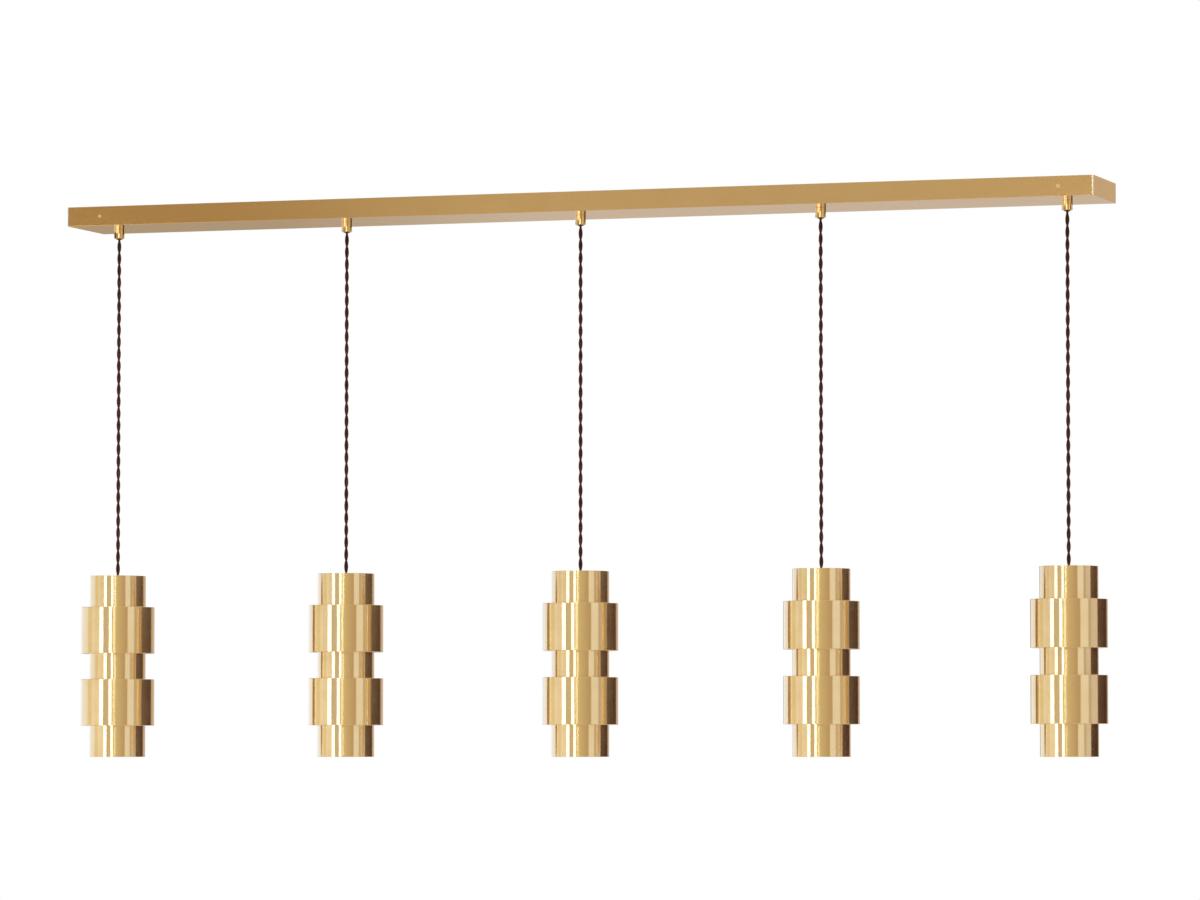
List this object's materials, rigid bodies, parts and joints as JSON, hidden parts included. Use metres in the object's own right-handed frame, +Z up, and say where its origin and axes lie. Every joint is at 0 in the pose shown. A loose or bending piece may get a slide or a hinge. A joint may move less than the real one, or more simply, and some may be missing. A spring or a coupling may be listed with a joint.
{
  "type": "linear island pendant light",
  "caption": "Long brass ceiling canopy with a row of glands, each hanging a stepped brass cylinder shade with a reflector lamp on a brown twisted flex.",
  "frame": {"origin": "centre of the ceiling plane, which the canopy's rim and the ceiling bar meet", "axes": "+X along the canopy to the picture's right, -Y towards the viewer, +Z up into the ceiling"},
  "size_m": [1.43, 0.125, 0.746],
  "materials": {
    "satin_brass": "satin, lacquered",
    "zinc_steel": "zinc plated",
    "brown_braid": "braided rayon",
    "brown_nylon": "matt",
    "white_nylon": "matt",
    "glazed_porcelain": "glazed",
    "lamp_white": "gloss"
  },
  "bodies": {
    "canopy": {"canopy_cover": "satin_brass", "ceiling_bar": "zinc_steel", "side_screws": "satin_brass", "cord_glands": "satin_brass", "gland_nuts": "satin_brass", "flex_tails": "brown_braid", "terminal_block": "white_nylon", "terminal_screws": "zinc_steel", "earth_fixing": "zinc_steel"},
    "bush_1": {"flex_bush_1": "brown_nylon"},
    "hanging_flex_1": {"flex_1": "brown_braid"},
    "shade_1": {"cord_grip_1": "satin_brass", "stem_1": "satin_brass", "top_plate_1": "satin_brass", "core_tube_1": "satin_brass", "upper_ring_1": "satin_brass", "lower_ring_1": "satin_brass", "lampholder_1": "glazed_porcelain"},
    "lamp_1": {"bulb_1": "lamp_white"},
    "bush_2": {"flex_bush_2": "brown_nylon"},
    "hanging_flex_2": {"flex_2": "brown_braid"},
    "shade_2": {"cord_grip_2": "satin_brass", "stem_2": "satin_brass", "top_plate_2": "satin_brass", "core_tube_2": "satin_brass", "upper_ring_2": "satin_brass", "lower_ring_2": "satin_brass", "lampholder_2": "glazed_porcelain"},
    "lamp_2": {"bulb_2": "lamp_white"},
    "bush_3": {"flex_bush_3": "brown_nylon"},
    "hanging_flex_3": {"flex_3": "brown_braid"},
    "shade_3": {"cord_grip_3": "satin_brass", "stem_3": "satin_brass", "top_plate_3": "satin_brass", "core_tube_3": "satin_brass", "upper_ring_3": "satin_brass", "lower_ring_3": "satin_brass", "lampholder_3": "glazed_porcelain"},
    "lamp_3": {"bulb_3": "lamp_white"},
    "bush_4": {"flex_bush_4": "brown_nylon"},
    "hanging_flex_4": {"flex_4": "brown_braid"},
    "shade_4": {"cord_grip_4": "satin_brass", "stem_4": "satin_brass", "top_plate_4": "satin_brass", "core_tube_4": "satin_brass", "upper_ring_4": "satin_brass", "lower_ring_4": "satin_brass", "lampholder_4": "glazed_porcelain"},
    "lamp_4": {"bulb_4": "lamp_white"},
    "bush_5": {"flex_bush_5": "brown_nylon"},
    "hanging_flex_5": {"flex_5": "brown_braid"},
    "shade_5": {"cord_grip_5": "satin_brass", "stem_5": "satin_brass", "top_plate_5": "satin_brass", "core_tube_5": "satin_brass", "upper_ring_5": "satin_brass", "lower_ring_5": "satin_brass", "lampholder_5": "glazed_porcelain"},
    "lamp_5": {"bulb_5": "lamp_white"}
  },
  "joints": [
    {"name": "swing_across_1", "type": "hinge", "parent": "canopy", "child": "bush_1", "pos_m": [-0.665, 0, -0.039], "axis": [1, 0, 0], "range_deg": [-45, 45]},
    {"name": "swing_along_1", "type": "hinge", "parent": "bush_1", "child": "hanging_flex_1", "pos_m": [-0.665, 0, -0.039], "axis": [0, 1, 0], "range_deg": [-9, 9]},
    {"name": "shade_turn_1", "type": "hinge", "parent": "hanging_flex_1", "child": "shade_1", "pos_m": [-0.665, 0, -0.5], "axis": [0, 0, 1], "range_deg": [-180, 180]},
    {"name": "lamp_lock_1", "type": "hinge", "parent": "shade_1", "child": "lamp_1", "pos_m": [-0.665, 0, -0.65], "axis": [0, 0, 1], "range_deg": [0, 20]},
    {"name": "swing_across_2", "type": "hinge", "parent": "canopy", "child": "bush_2", "pos_m": [-0.3325, 0, -0.039], "axis": [1, 0, 0], "range_deg": [-45, 45]},
    {"name": "swing_along_2", "type": "hinge", "parent": "bush_2", "child": "hanging_flex_2", "pos_m": [-0.3325, 0, -0.039], "axis": [0, 1, 0], "range_deg": [-9, 9]},
    {"name": "shade_turn_2", "type": "hinge", "parent": "hanging_flex_2", "child": "shade_2", "pos_m": [-0.3325, 0, -0.5], "axis": [0, 0, 1], "range_deg": [-180, 180]},
    {"name": "lamp_lock_2", "type": "hinge", "parent": "shade_2", "child": "lamp_2", "pos_m": [-0.3325, 0, -0.65], "axis": [0, 0, 1], "range_deg": [0, 20]},
    {"name": "swing_across_3", "type": "hinge", "parent": "canopy", "child": "bush_3", "pos_m": [0, 0, -0.039], "axis": [1, 0, 0], "range_deg": [-45, 45]},
    {"name": "swing_along_3", "type": "hinge", "parent": "bush_3", "child": "hanging_flex_3", "pos_m": [0, 0, -0.039], "axis": [0, 1, 0], "range_deg": [-9, 9]},
    {"name": "shade_turn_3", "type": "hinge", "parent": "hanging_flex_3", "child": "shade_3", "pos_m": [0, 0, -0.5], "axis": [0, 0, 1], "range_deg": [-180, 180]},
    {"name": "lamp_lock_3", "type": "hinge", "parent": "shade_3", "child": "lamp_3", "pos_m": [0, 0, -0.65], "axis": [0, 0, 1], "range_deg": [0, 20]},
    {"name": "swing_across_4", "type": "hinge", "parent": "canopy", "child": "bush_4", "pos_m": [0.3325, 0, -0.039], "axis": [1, 0, 0], "range_deg": [-45, 45]},
    {"name": "swing_along_4", "type": "hinge", "parent": "bush_4", "child": "hanging_flex_4", "pos_m": [0.3325, 0, -0.039], "axis": [0, 1, 0], "range_deg": [-9, 9]},
    {"name": "shade_turn_4", "type": "hinge", "parent": "hanging_flex_4", "child": "shade_4", "pos_m": [0.3325, 0, -0.5], "axis": [0, 0, 1], "range_deg": [-180, 180]},
    {"name": "lamp_lock_4", "type": "hinge", "parent": "shade_4", "child": "lamp_4", "pos_m": [0.3325, 0, -0.65], "axis": [0, 0, 1], "range_deg": [0, 20]},
    {"name": "swing_across_5", "type": "hinge", "parent": "canopy", "child": "bush_5", "pos_m": [0.665, 0, -0.039], "axis": [1, 0, 0], "range_deg": [-45, 45]},
    {"name": "swing_along_5", "type": "hinge", "parent": "bush_5", "child": "hanging_flex_5", "pos_m": [0.665, 0, -0.039], "axis": [0, 1, 0], "range_deg": [-9, 9]},
    {"name": "shade_turn_5", "type": "hinge", "parent": "hanging_flex_5", "child": "shade_5", "pos_m": [0.665, 0, -0.5], "axis": [0, 0, 1], "range_deg": [-180, 180]},
    {"name": "lamp_lock_5", "type": "hinge", "parent": "shade_5", "child": "lamp_5", "pos_m": [0.665, 0, -0.65], "axis": [0, 0, 1], "range_deg": [0, 20]}
  ]
}
